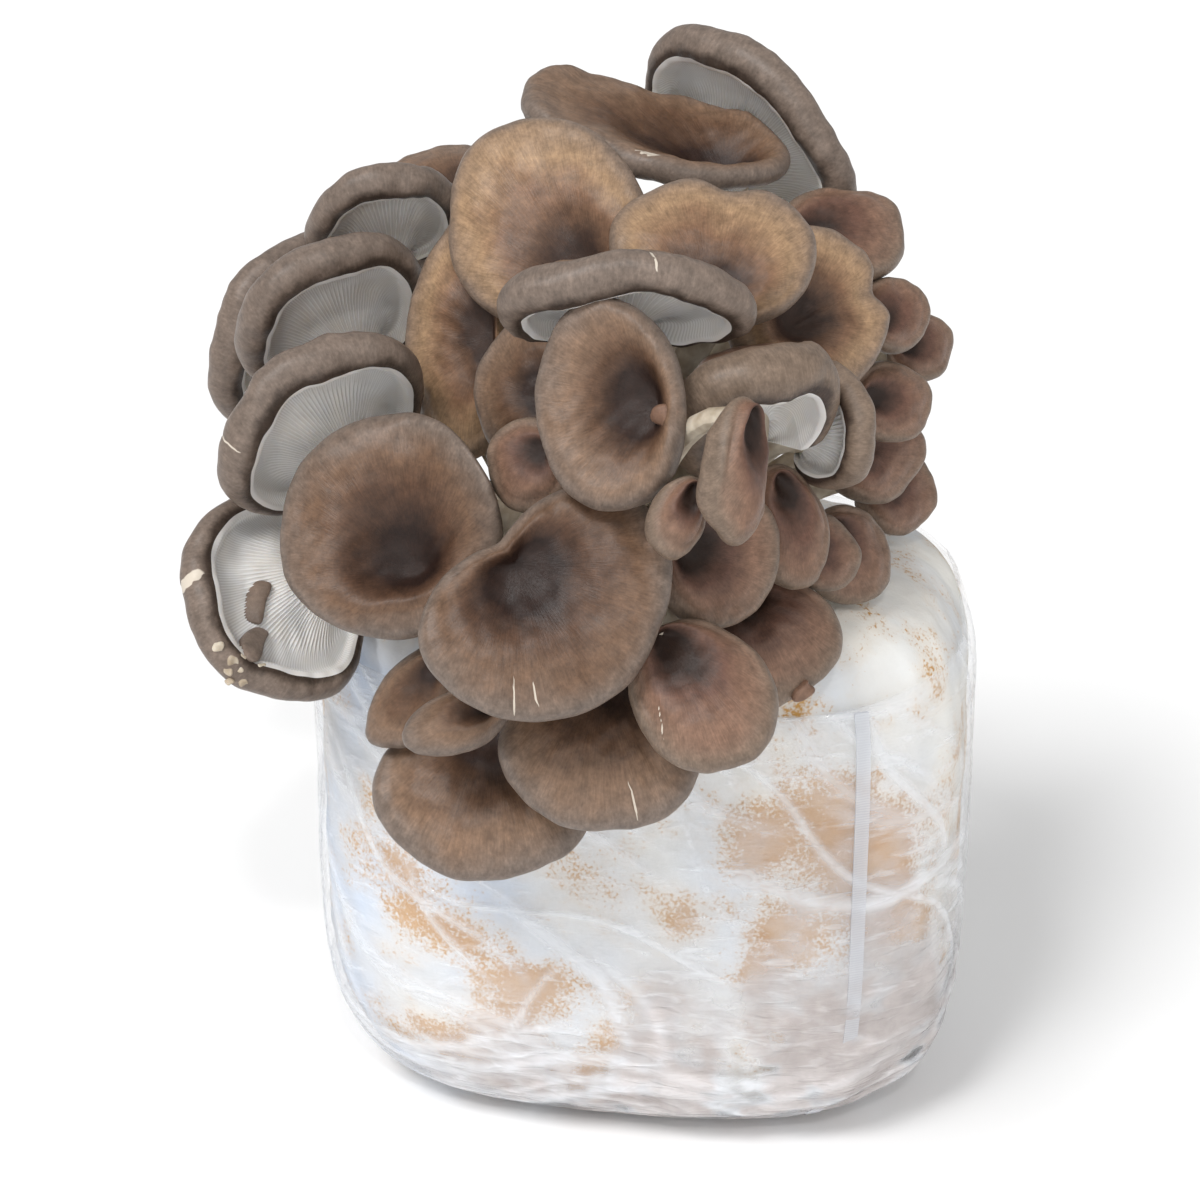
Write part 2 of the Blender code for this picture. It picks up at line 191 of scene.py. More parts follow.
def closed_grid(name, points, materials, rows_of=None, **attributes):
    """A closed mesh from a grid of rings: each ring joins its own ends, and the first and last rings shrink to
    one point each. attributes are values at every grid point; rows_of gives a material number for each row."""
    rings, around = points.shape[:2]
    keep = np.concatenate([[0], np.arange(around, (rings - 1) * around), [(rings - 1) * around]])
    index = np.zeros(rings * around, int)
    index[keep] = np.arange(len(keep))
    index[:around] = 0
    index[(rings - 1) * around:] = len(keep) - 1
    index = index.reshape(rings, around)
    a, b = index[:-1], index[1:]
    quads = np.stack([a, b, np.roll(b, -1, 1), np.roll(a, -1, 1)], -1)
    caps = np.concatenate([np.stack([a[0], b[0], np.roll(b[0], -1)], -1),
                           np.stack([a[-1], b[-1], np.roll(a[-1], -1)], -1)])
    body = quads[1:-1].reshape(-1, 4)
    loops = np.concatenate([body.ravel(), caps.ravel()]).astype(np.int32)
    counts = np.concatenate([np.full(len(body), 4), np.full(len(caps), 3)]).astype(np.int32)
    made = bpy.data.meshes.new(name)
    made.vertices.add(len(keep))
    made.vertices.foreach_set("co", points.reshape(-1, 3)[keep].astype(np.float32).ravel())
    made.loops.add(len(loops))
    made.loops.foreach_set("vertex_index", loops)
    made.polygons.add(len(counts))
    made.polygons.foreach_set("loop_start", (np.cumsum(counts) - counts).astype(np.int32))
    made.polygons.foreach_set("loop_total", counts)
    for material in materials:
        made.materials.append(material)
    if rows_of is not None:
        rows_of = np.asarray(rows_of)
        numbers = np.concatenate([np.repeat(rows_of[1:-1], around), np.full(around, rows_of[0]),
                                  np.full(around, rows_of[-1])])
        made.polygons.foreach_set("material_index", numbers.astype(np.int32))
    made.update(calc_edges=True)
    for key, values in attributes.items():
        values = np.asarray(values, np.float32)
        kind = "FLOAT_VECTOR" if values.ndim == 3 else "FLOAT"
        slot = made.attributes.new(key, kind, "POINT")
        flat = values.reshape(rings * around, -1)[keep]
        slot.data.foreach_set("vector" if values.ndim == 3 else "value", flat.ravel())
    made.shade_smooth()
    piece = bpy.data.objects.new(name, made)
    bpy.context.scene.collection.objects.link(piece)
    return piece


# Mycelium skin over sawdust: matt and cottony, off white, with a painted cool blue shade that grows towards the
# left side; where "bare" is high it thins, so the wood first stains it peach and then shows as single ochre grains
# about a millimetre across
mycelium, tree, shader = new_material("mycelium_grown_skin", Roughness=0.85, Specular_IOR_Level=0.25)
where = add_node(tree, "ShaderNodeTexCoord")
bare = add_node(tree, "ShaderNodeAttribute", attribute_name="bare")
cool = add_node(tree, "ShaderNodeAttribute", attribute_name="cool")
grains = add_node(tree, "ShaderNodeTexNoise", {"Vector": where.outputs["Object"], "Scale": 780.0,
                                               "Detail": 4.0, "Roughness": 0.6})
clumps = add_node(tree, "ShaderNodeTexNoise", {"Vector": where.outputs["Object"], "Scale": 48.0,
                                               "Detail": 7.0, "Roughness": 0.62})
cloud = add_node(tree, "ShaderNodeTexNoise", {"Vector": where.outputs["Object"], "Scale": 19.0, "Detail": 5.0})
# painted shade: a cool blue tint mixed into the white, strongest towards the left side
white = add_node(tree, "ShaderNodeMix", {"Factor": cool.outputs["Fac"], "A": linear("#ECEAE4"),
                                         "B": linear("#CBD8EA")}, data_type="RGBA")
thin = add_node(tree, "ShaderNodeMapRange", {"Value": cloud.outputs["Fac"], "From Min": 0.4, "From Max": 0.68,
                                             "To Max": 0.7})
skin = add_node(tree, "ShaderNodeMix", {"Factor": thin.outputs[0], "A": white.outputs["Result"],
                                        "B": linear("#D9D3CA")}, data_type="RGBA")
stained = add_node(tree, "ShaderNodeMath", {0: bare.outputs["Fac"], 1: 0.5, 2: clumps.outputs["Fac"]},
                   operation="MULTIPLY_ADD")
stain = add_node(tree, "ShaderNodeMapRange", {"Value": stained.outputs[0], "From Min": 0.52, "From Max": 0.95,
                                              "To Max": 0.6})
skin = add_node(tree, "ShaderNodeMix", {"Factor": stain.outputs[0], "A": skin.outputs["Result"],
                                        "B": linear("#DFC6A6")}, data_type="RGBA")
showing = add_node(tree, "ShaderNodeMath", {0: stained.outputs[0], 1: grains.outputs["Fac"]}, operation="ADD")
showing = add_node(tree, "ShaderNodeMapRange", {"Value": showing.outputs[0], "From Min": 1.2, "From Max": 1.38})
ochre = add_node(tree, "ShaderNodeMix", {"Factor": clumps.outputs["Fac"], "A": linear("#A8702E"),
                                         "B": linear("#D2A765")}, data_type="RGBA")
skin = add_node(tree, "ShaderNodeMix", {"Factor": showing.outputs[0], "A": skin.outputs["Result"],
                                        "B": ochre.outputs["Result"]}, data_type="RGBA")
tree.links.new(skin.outputs["Result"], shader.inputs["Base Color"])
relief = add_node(tree, "ShaderNodeBump", {"Height": clumps.outputs["Fac"], "Strength": 0.7,
                                           "Distance": 1.5 * MM})
tree.links.new(relief.outputs["Normal"], shader.inputs["Normal"])

block_low, block_high = (np.array(corner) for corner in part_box("mycelium_block"))
turn, rise = np.meshgrid(np.linspace(math.pi, -math.pi, 300, endpoint=False), np.linspace(-1, 1, 180))
upright = np.where(rise < 0, FOOT_SQUARENESS, SIDE_SQUARENESS)
shape = box_form(turn, rise, block_low, block_high, PLAN_SQUARENESS, upright, BLOCK_SPARE)
block_half = (block_high - block_low) / 2
inward = (shape - (block_high + block_low) / 2) / block_half
pits = np.clip(waves(shape, 34 * MM, 1, 4), -1.5, 1.5)
shape = shape - inward * (0.7 + 0.5 * pits)[..., None] * MM * (np.abs(rise) < 0.8)[..., None]
across, height = shape[..., 0] / block_half[0], (shape[..., 2] - block_low[2]) / (2 * block_half[2])
bare_skin = np.zeros_like(across)
for u, v, radius, strength in SAWDUST_PATCHES:
    bare_skin += strength * np.exp(-((across - u) ** 2 + ((height - v) * 1.6) ** 2) / radius ** 2)
bare_skin += np.clip(0.08 + 0.26 * waves(shape, 40 * MM, 9, 3), 0, 0.35)
behind = np.clip(shape[..., 1] / (0.3 * block_half[1]), 0, 1)
bare_back = np.clip(0.15 + 0.35 * waves(shape, 90 * MM, 7, 2), 0, 0.7)
bare_skin = bare_skin * (1 - behind) + bare_back * behind
# painted shade: a cool blue tint, strongest towards the left side and broken up by waves
painted_cool_shade = np.clip(0.5 - across * 0.6 + 0.3 * waves(shape, 70 * MM, 3, 2), 0, 1)
block = closed_grid("mycelium_block_skin", shape, [mycelium], bare=bare_skin, cool=painted_cool_shade)
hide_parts("mycelium_block")
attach(block, "root")


# ---------------------------------------------------------------------------------------------------------------
# Grow bag: thin clear blown film drawn tight round the block and open at the top. It is creased where it was
# folded and squeezed: long slanting folds down the front, and a gathered, half loose skirt along the bottom.
# ---------------------------------------------------------------------------------------------------------------
FILM_WALL = 0.25 * MM
CREASES = 170
CREASE_HEIGHT = 1.1 * MM
LOOSE_LIFT = 1.5 * MM            # how far the film stands off where nothing presses it
BOTTOM_EDGE = -0.64             # the rise at which the film leaves the flat bottom
RIM_FRONT_DROP = 0.115          # how far the rim falls from back to front, as a part of the bag's height

film_low, film_high = (np.array(corner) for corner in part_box("grow_bag_film"))
film_size = film_high - film_low
film_top = np.array([film_high[0], film_high[1], block_high[2] + block_low[2] - film_low[2]])
round_bag = np.linspace(math.pi, -math.pi, 320, endpoint=False)
turn = -math.pi / 2 + round_bag - 0.5 * np.sin(round_bag)       # columns are closest together at the front
plan = np.abs(np.cos(turn)) ** PLAN_SQUARENESS + np.abs(np.sin(turn)) ** PLAN_SQUARENESS
plan = plan ** (1 / PLAN_SQUARENESS)
rim = film_size[2] * (1 - RIM_FRONT_DROP * (1 - np.sin(turn) / plan) / 2 + 0.005 * np.sin(turn * 7))
rim = (rim / (film_top[2] - film_low[2]) * 2 - 1) / BLOCK_SPARE
rim = np.arctan(rim / (1 - rim ** SIDE_SQUARENESS) ** (1 / SIDE_SQUARENESS)) * 2 / math.pi
under = np.linspace(-1, BOTTOM_EDGE, 10, endpoint=False)[:, None] + 0 * turn
rise = np.concatenate([under, BOTTOM_EDGE + np.linspace(0, 1, 134)[:, None] * (rim - BOTTOM_EDGE)])
turn = turn + 0 * rise
upright = np.where(rise < 0, FOOT_SQUARENESS, SIDE_SQUARENESS)
shape = box_form(turn, rise, film_low, film_top, PLAN_SQUARENESS, upright, BLOCK_SPARE)
side = np.stack([np.cos(turn), np.sin(turn), np.zeros_like(turn)], -1)
height = (shape[..., 2] - film_low[2]) / film_size[2]
fold = np.zeros_like(turn)
random = np.random.default_rng(12)
for _ in range(CREASES):
    start, level = random.uniform(-math.pi, math.pi), random.uniform(0.0, 1.0) ** 1.3
    slant = math.atan(random.normal(-0.9, 0.8) if level > 0.25 else random.normal(0.0, 0.25))
    length, width = random.uniform(0.2, 0.9), random.uniform(0.010, 0.034)
    off = (turn - start + math.pi) % (2 * math.pi) - math.pi
    along = off * math.cos(slant) + (height - level) * 2 * math.sin(slant)
    away = -off * math.sin(slant) + (height - level) * 2 * math.cos(slant)
    away = away + 0.05 * np.sin(along * 7 + start * 5)
    fold = np.maximum(fold, random.uniform(0.4, 1) * np.exp(-(away / width) ** 2 - (along / length) ** 4))
loose = np.clip(1 - height / 0.3, 0, 1) * (0.5 + 0.5 * np.sin(turn * 3 + 0.8))
loose = loose + np.clip(np.cos(turn + 0.75), 0, 1) ** 4 * np.clip(1.2 - height * 1.6, 0, 1)
loose = loose + np.clip(np.cos(turn + 0.85), 0, 1) ** 3 * np.clip(1.3 - np.abs(height - 0.17) / 0.2, 0, 1)
# painted shade: this mask also gives the film its dull grey beige tint and extra opacity low on the front right,
# standing in for shade where the bag turns under
slack = np.clip(loose * (0.7 + 0.4 * waves(shape, 26 * MM, 5, 3)), 0, 1)
lift = fold * CREASE_HEIGHT + loose * LOOSE_LIFT * (0.6 + 0.4 * waves(shape, 30 * MM, 6, 2))
shape = shape + side * (lift * np.clip((height - 0.01) / 0.08, 0, 1))[..., None]


def open_grid(name, points, materials, **attributes):
    """An open cup from a grid of rings: each ring joins its own ends, and the first shrinks to one point."""
    rings, around = points.shape[:2]
    index = np.arange(rings * around).reshape(rings, around) - around + 1
    index[0] = 0
    a, b = index[:-1], index[1:]
    body = np.stack([a, b, np.roll(b, -1, 1), np.roll(a, -1, 1)], -1)[1:].reshape(-1, 4)
    cap = np.stack([a[0], b[0], np.roll(b[0], -1)], -1)
    verts = np.concatenate([points[0, :1], points[1:].reshape(-1, 3)])
    made = bpy.data.meshes.new(name)
    made.from_pydata(verts, [], cap.tolist() + body.tolist())
    for material in materials:
        made.materials.append(material)
    for key, values in attributes.items():
        slot = made.attributes.new(key, "FLOAT", "POINT")
        slot.data.foreach_set("value", np.concatenate([values[0, :1], values[1:].ravel()]).astype(np.float32))
    made.shade_smooth()
    piece = bpy.data.objects.new(name, made)
    bpy.context.scene.collection.objects.link(piece)
    return piece


# Polypropylene film, blown: clear and glossy; white along its creases, partly its own whitening where folded and
# partly painted highlight on the fold ridges; a dull beige where it stands slack, partly its own haze and partly
# painted shade where the bag turns under at the bottom right
film_stuff, tree, shader = new_material("polypropylene_blown_film", Roughness=0.1, IOR=1.6,
                                        Specular_IOR_Level=1.0)
crease = add_node(tree, "ShaderNodeAttribute", attribute_name="crease")
slack_film = add_node(tree, "ShaderNodeAttribute", attribute_name="slack")
where = add_node(tree, "ShaderNodeTexCoord")
haze = add_node(tree, "ShaderNodeTexNoise", {"Vector": where.outputs["Object"], "Scale": 60.0, "Detail": 5.0})
along = add_node(tree, "ShaderNodeMapping", {"Vector": where.outputs["Object"], "Rotation": (0, 0.6, 0),
                                             "Scale": (70, 70, 260)})
fine_folds = add_node(tree, "ShaderNodeTexNoise", {"Vector": along.outputs["Vector"], "Scale": 1.0,
                                                   "Detail": 3.0, "Distortion": 0.8})
# partly painted highlight: creases and the ridges of the fine folds turn whiter and more opaque, as the film's own
# whitening and as light caught on the ridges
milk_and_ridge_glint = add_node(tree, "ShaderNodeMath", {0: crease.outputs["Fac"], 1: 0.3, 2: 0.1}, operation="MULTIPLY_ADD")
fine_ridge_glint = add_node(tree, "ShaderNodeMapRange", {"Value": fine_folds.outputs["Fac"], "From Min": 0.55,
                                                  "From Max": 0.8, "To Max": 0.22})
milk_and_ridge_glint = add_node(tree, "ShaderNodeMath", {0: milk_and_ridge_glint.outputs[0], 1: fine_ridge_glint.outputs[0]}, operation="ADD")
# painted shade: slack film turns more opaque and grey beige, partly its own haze and partly shade at the bottom
# right
dull = add_node(tree, "ShaderNodeMath", {0: slack_film.outputs["Fac"], 1: haze.outputs["Fac"]},
                operation="MULTIPLY")
alpha = add_node(tree, "ShaderNodeMath", {0: dull.outputs[0], 1: 1.25, 2: milk_and_ridge_glint.outputs[0]},
                 operation="MULTIPLY_ADD", use_clamp=True)
beige_shade = add_node(tree, "ShaderNodeMath", {0: slack_film.outputs["Fac"], 1: milk_and_ridge_glint.outputs[0]},
                 operation="SUBTRACT", use_clamp=True)
tint = add_node(tree, "ShaderNodeMix", {"Factor": beige_shade.outputs[0], "A": linear("#F4F7FC"),
                                        "B": linear("#BDB2AE")}, data_type="RGBA")
tree.links.new(tint.outputs["Result"], shader.inputs["Base Color"])
tree.links.new(alpha.outputs[0], shader.inputs["Alpha"])
relief = add_node(tree, "ShaderNodeBump", {"Height": fine_folds.outputs["Fac"], "Strength": 0.9,
                                           "Distance": 1.6 * MM})
tree.links.new(relief.outputs["Normal"], shader.inputs["Normal"])

film = open_grid("grow_bag", shape, [film_stuff], crease=np.clip(fold, 0, 1), slack=slack)
wall = film.modifiers.new("wall", "SOLIDIFY")
wall.thickness = FILM_WALL
wall.offset = -1
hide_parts("grow_bag_film")
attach(film, "root")


# ---------------------------------------------------------------------------------------------------------------
# Gusset seam: a narrow strip down the right front corner where the film is doubled and heat sealed.
# ---------------------------------------------------------------------------------------------------------------
# Sealed film: clouded by the hot bar, so paler and duller than the bag, with the bar's fine cross ribs
sealed, tree, shader = new_material("polypropylene_heat_sealed", Roughness=0.22, Alpha=0.42)
where = add_node(tree, "ShaderNodeTexCoord")
ribs = add_node(tree, "ShaderNodeTexWave", {"Vector": where.outputs["Object"], "Scale": 330.0,
                "Distortion": 3.0}, bands_direction="Z")
smear = add_node(tree, "ShaderNodeTexNoise", {"Vector": where.outputs["Object"], "Scale": 80.0, "Detail": 3.0})
mark = add_node(tree, "ShaderNodeMath", {0: ribs.outputs["Fac"], 1: smear.outputs["Fac"]}, operation="MULTIPLY")
tint = add_node(tree, "ShaderNodeMix", {"Factor": mark.outputs[0], "A": linear("#DADDE4"),
                                        "B": linear("#F2F4F9")}, data_type="RGBA")
tree.links.new(tint.outputs["Result"], shader.inputs["Base Color"])
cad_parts["gusset_seam"].data.materials.clear()
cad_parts["gusset_seam"].data.materials.append(sealed)


# ---------------------------------------------------------------------------------------------------------------
# Cluster base: the pale knot of fused flesh that every stem grows out of, lumpy where young pins have aborted.
# ---------------------------------------------------------------------------------------------------------------
# Mushroom flesh: matt and fibrous, off white, with painted shade in its folds where the lumps dip
stem_flesh, tree, shader = new_material("mushroom_flesh_fibrous", Roughness=0.7, Subsurface_Weight=0.15,
                                        Subsurface_Radius=(0.004, 0.003, 0.002), Subsurface_Scale=0.5)
where = add_node(tree, "ShaderNodeTexCoord")
lumps = add_node(tree, "ShaderNodeTexNoise", {"Vector": where.outputs["Object"], "Scale": 130.0, "Detail": 5.0})
# painted shade: the colour darkens where the lump noise, which also sets the bump, dips into hollows
flesh_fold_shade = add_node(tree, "ShaderNodeValToRGB", {"Fac": lumps.outputs["Fac"]})
flesh_fold_shade.color_ramp.elements[0].position = 0.35
flesh_fold_shade.color_ramp.elements[0].color = linear("#A2927D")
flesh_fold_shade.color_ramp.elements[1].position = 0.62
flesh_fold_shade.color_ramp.elements[1].color = linear("#CFC4B2")
tree.links.new(flesh_fold_shade.outputs["Color"], shader.inputs["Base Color"])
relief = add_node(tree, "ShaderNodeBump", {"Height": lumps.outputs["Fac"], "Strength": 0.6,
                                           "Distance": 0.8 * MM})
tree.links.new(relief.outputs["Normal"], shader.inputs["Normal"])
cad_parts["cluster_base"].data.materials.clear()
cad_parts["cluster_base"].data.materials.append(stem_flesh)


# ---------------------------------------------------------------------------------------------------------------
# Crown: the mushrooms highest on the cluster. Each mushroom is one growth of flesh: a brown skin covers the cap
# and rolls under at its margin, thin gills run back from the roll, and a short stem bends down to the base.
# ---------------------------------------------------------------------------------------------------------------
HEART = np.array([-20, -55, 211]) * MM
BASE_RADIUS = 44.3              # just past the ball of fused flesh, mm
STEM = 5
HUB_DIP = 0.15                  # how far the hub sinks, as a part of the cap's half length
NECK_SHARE, RIM_SHARE = 0.4, 0.35       # most of the reach from hub to margin that the stem and the roll take
ROLL_ANGLE = math.radians(210)
FACE_BEARING, FACE_RISE = math.radians(8), math.radians(25)     # the way the cluster leans out
ACROSS = np.array([math.cos(FACE_BEARING), math.sin(FACE_BEARING), 0])
OUT = np.array([math.sin(FACE_BEARING) * math.cos(FACE_RISE),
                -math.cos(FACE_BEARING) * math.cos(FACE_RISE), math.sin(FACE_RISE)])
UP = np.cross(OUT, ACROSS)
GILL_SPACING = 1.25             # at the margin; real gills there stand about 1 mm apart
GILL_DEPTH = 0.9
WAYS = np.concatenate([np.linspace(0, 1, 24), 1 + np.linspace(0, 1, 14)[1:],
                       2 + np.linspace(0, 1, 17)[1:] ** 1.5, 3 + np.linspace(0, 1, 10)[1:]])
SKIN_ENDS, GILLS_END = 1.85, 2.999      # where the skin stops under the margin, and the gills at the stem


def unit(vector):
    """The same direction, one long."""
    return vector / np.linalg.norm(vector, axis=-1, keepdims=True)


def sines(turn, counts, random):
    """A closed wave of about -1 to 1 round the margin: a sum of whole-numbered sines with random phases."""
    return sum(np.sin(k * turn + random.uniform(0, 2 * math.pi)) / len(counts) ** 0.5 for k in counts)


def cap_surface(hl, hw, hub, cup, bend, furl, nod, rim, x, y, spot):
    """Height of a cap's top over its hub, in mm: cup and dip by how far out, the droops by which side."""
    far, clockwise = np.maximum(x, 0) / (hl * (1 + hub)), np.maximum(-y, 0) / hw
    height = cup * hl * spot ** 2 + HUB_DIP * hl * (1 - np.exp(-(spot / 0.4) ** 2))
    height = height - rim * 0.8 * np.clip((spot - 0.55) / 0.45, 0, 1) ** 2
    return height - bend * hw * (y / hw) ** 2 - furl * hw * clockwise ** 4 - nod * hl * far ** 2


def grow(name, place, hl, hw, heading, skin, lean=0, tilt=0, hub=0.8, cup=0.0, bend=0.0, furl=0.0, nod=0.0,
         rim=6.0, flesh=4.0, notches=(), cracks=()):
    """One mushroom, in mm and degrees on the cluster's axes. Rings run out from the hub over the top (way 0 to 1),
    turn over the margin along an arc (1 to 2), come back in as gills (2 to 3) and follow a cubic curve down the
    stem (3 to 4). place is the middle of the cap across, up and out; heading is the clock angle of its far margin
    before the cap tips by tilt towards lean. Each crack is (turn, way, length, width, direction) of bare flesh."""
    random = np.random.default_rng(sum(map(ord, name)) * 7 + len(name))
    lean, tilt, heading = (math.radians(angle) for angle in (lean, tilt, heading))
    towards = math.sin(lean) * ACROSS + math.cos(lean) * UP
    along = math.cos(lean) * ACROSS - math.sin(lean) * UP
    top = math.cos(tilt) * OUT + math.sin(tilt) * towards
    fallen = math.cos(tilt) * towards - math.sin(tilt) * OUT
    forward = math.cos(heading - lean) * fallen + math.sin(heading - lean) * along
    side = np.cross(top, forward)
    centre = HEART + (place[0] * ACROSS + place[1] * UP + place[2] * OUT) * MM - forward * hl * hub * MM

    gills = int(math.pi * (hl + hw) / GILL_SPACING / 4) * 4
    columns = np.arange(gills * 2)
    turn, way = np.meshgrid(columns * math.pi / gills, WAYS)
    swell = 1 + 0.018 * sines(turn, (2, 3, 5), random) + 0.003 * sines(turn, (8, 11, 17), random)
    for angle, depth, spread in notches:
        off = (turn - math.radians(angle) + math.pi) % (2 * math.pi) - math.pi
        swell = swell - depth * np.exp(-(off / math.radians(spread)) ** 2)
    x, y = hl * (np.cos(turn) + hub) * swell, hw * np.sin(turn) * swell
    reach = np.hypot(x, y)
    ex, ey = x / reach, y / reach
    stem = STEM * min(1, (hl * hw) ** 0.5 / 24)
    neck = np.minimum(1.5 * stem, NECK_SHARE * reach)
    roll = np.minimum(rim * (1 + 0.06 * sines(turn, (2, 3, 5), random)), RIM_SHARE * reach)
    edge = reach - roll
    spot = np.where(way < 2, np.minimum(way, 1), 1 - np.clip(way - 2, 0, 1) * (1 - neck / edge))
    curl = np.clip(way - 1, 0, 1)
    swing = math.pi / 2 - curl * ROLL_ANGLE
    back_in = np.clip(way - 2, 0, 1)
    lip = np.exp(-(back_in / 0.1) ** 2) * (way >= 2)
    radial = spot * edge + np.where((way > 1) & (way < 2), roll * np.cos(swing), 0)
    radial = radial + lip * roll * math.cos(math.pi / 2 - ROLL_ANGLE)
    hub_flesh = flesh + 0.9 * stem
    lip_down = roll * (1 - math.sin(math.pi / 2 - ROLL_ANGLE))
    under = flesh + (hub_flesh - flesh) * back_in ** 2 + (lip_down - flesh) * lip
    ridge = np.broadcast_to((columns % 2).astype(float), turn.shape)
    order = columns // 2
    short = np.where(order % 2 == 1, 0.45, np.where(order % 4 == 2, 0.75, 1.0))
    comb = ridge * np.clip(back_in / 0.05, 0, 1) * np.clip((short - back_in) / 0.12, 0, 1)
    under = under + GILL_DEPTH * comb * (way >= 2) * (1 - back_in * 0.6)
    drop = np.where(way < 2, np.where(way > 1, roll * (1 - np.sin(swing)), 0), under)
    height = cap_surface(hl, hw, hub, cup, bend, furl, nod, rim, radial * ex, radial * ey, spot) - drop
    flutter = np.clip((spot - 0.35) / 0.65, 0, 1) ** 2 * (0.035 * hl) * sines(turn, (2, 3, 4), random)
    dents = 0.5 * waves(np.stack([radial * ex, radial * ey, spot * 0], -1), 22, len(name) + int(hl), 3)
    height = height + flutter + dents * np.clip(spot * 3, 0, 1)
    torn = np.zeros_like(turn)
    for angle, level, length, width, direction in cracks:
        off = (turn - math.radians(angle) + math.pi) % (2 * math.pi) - math.pi
        u = off * reach * np.clip(way, 0.2, 1)
        v = (np.minimum(way, 2) - level) * np.where(way < 1, reach, roll * 3.6)
        c, s = math.cos(math.radians(direction)), math.sin(math.radians(direction))
        across_it = (-u * s + v * c) + 0.25 * width * np.sin((u * c + v * s) * 1.7 + angle)
        torn = np.maximum(torn, np.exp(-(across_it / width) ** 4 - ((u * c + v * s) / length) ** 4) * (way < 2))
    height = height - torn * 0.7
    outline = (radial * ex)[..., None] * forward + (radial * ey)[..., None] * side
    cap = centre + (outline + height[..., None] * top) * MM

    start = centre - top * hub_flesh * MM
    outward = unit(centre - HEART)
    foot = HEART + outward * BASE_RADIUS * MM
    span = np.linalg.norm(start - foot)
    one, two = start - top * span * 0.25, foot + outward * span * 0.35
    t = np.clip(way - 3, 0, 1)[..., None]
    centre_line = (1 - t) ** 3 * start + 3 * (1 - t) ** 2 * t * one + 3 * (1 - t) * t ** 2 * two + t ** 3 * foot
    tangent = unit(3 * (1 - t) ** 2 * (one - start) + 6 * (1 - t) * t * (two - one) + 3 * t ** 2 * (foot - two))
    crosswise = unit(side - (tangent * side).sum(-1, keepdims=True) * tangent)
    ahead = np.cross(tangent, crosswise)
    thick = stem + (neck - stem) * np.maximum(0, 1 - t[..., 0] * 2.5) ** 2
    thick = thick + 0.04 * stem * sines(turn, (3, 5), random)
    stalk = centre_line + (thick * MM)[..., None] * (ex[..., None] * ahead + ey[..., None] * crosswise)
    points = np.where((way > 3)[..., None], stalk, cap)
    points = np.concatenate([points, np.broadcast_to(foot, (1, len(columns), 3))])

    low, high = (np.array(corner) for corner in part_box(name))
    points = (points - points.min((0, 1))) / np.ptp(points, (0, 1)) * (high - low) + low
    grain = np.stack([np.cos(turn), np.sin(turn), way * 0.25 + random.uniform(0, 50)], -1)
    last = [array[-1:] for array in (way, grain, ridge, torn)]
    way_on, grain_on, comb_on, torn_on = (np.concatenate([array, end]) for array, end in
                                          zip((way, grain, comb, torn), last))
    rows = np.where(WAYS < SKIN_ENDS, 0, np.where(WAYS < GILLS_END, 1, 2))
    made = closed_grid(name.replace("mushroom_", "oyster_"), points, [skin, gill_flesh, stem_flesh], rows,
                       way=way_on, grain=grain_on, comb=comb_on, torn=torn_on)
    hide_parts(name)
    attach(made, "root")
    return made


